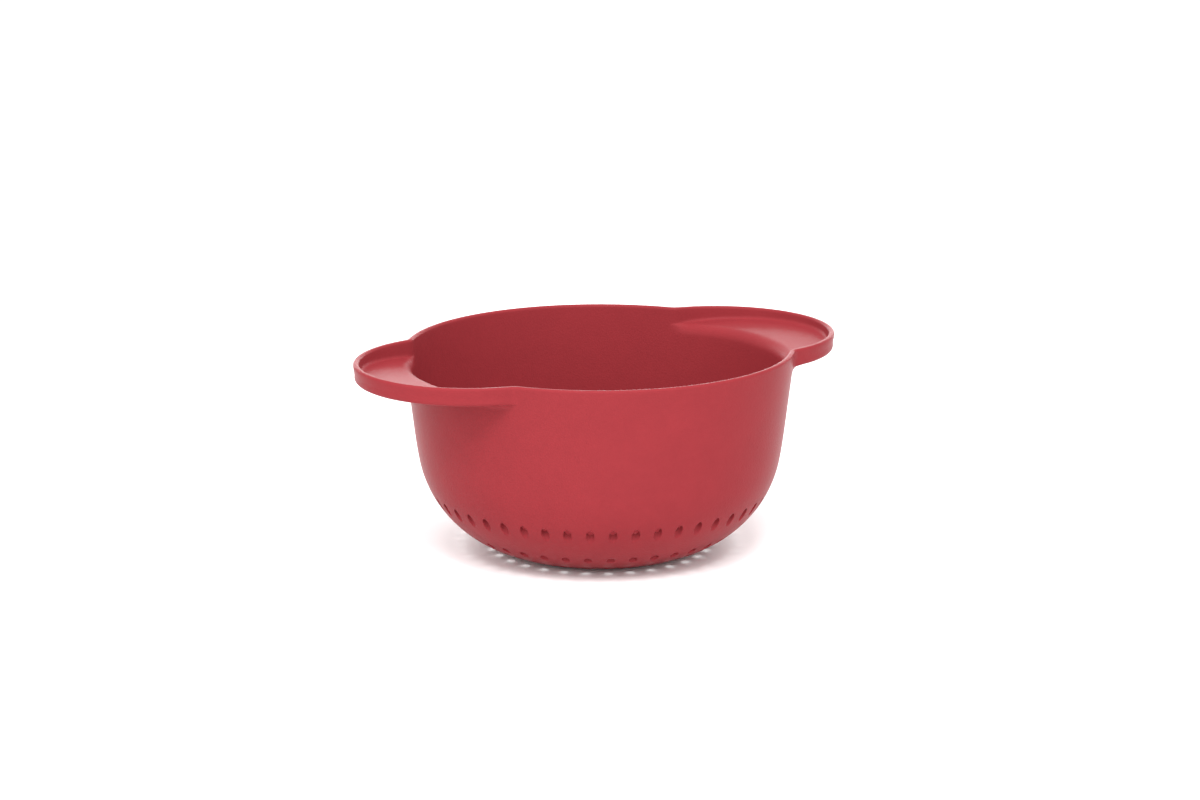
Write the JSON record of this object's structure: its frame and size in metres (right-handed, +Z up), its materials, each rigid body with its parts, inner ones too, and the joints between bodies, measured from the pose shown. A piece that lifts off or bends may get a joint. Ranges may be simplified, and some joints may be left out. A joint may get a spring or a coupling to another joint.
{
  "type": "colander",
  "caption": "One-piece moulded plastic colander: round bowl with rings of drain holes low down, and two opposed ear-shaped handles carried out from the rim.",
  "frame": {"origin": "centre of the flat base, on the surface it stands on", "axes": "+Z up along the bowl's axis; the two handles point along +X and -X"},
  "size_m": [0.317, 0.2396, 0.1255],
  "materials": {
    "red_plastic": "satin moulded plastic"
  },
  "bodies": {
    "root": {"colander": "red_plastic"}
  },
  "joints": []
}
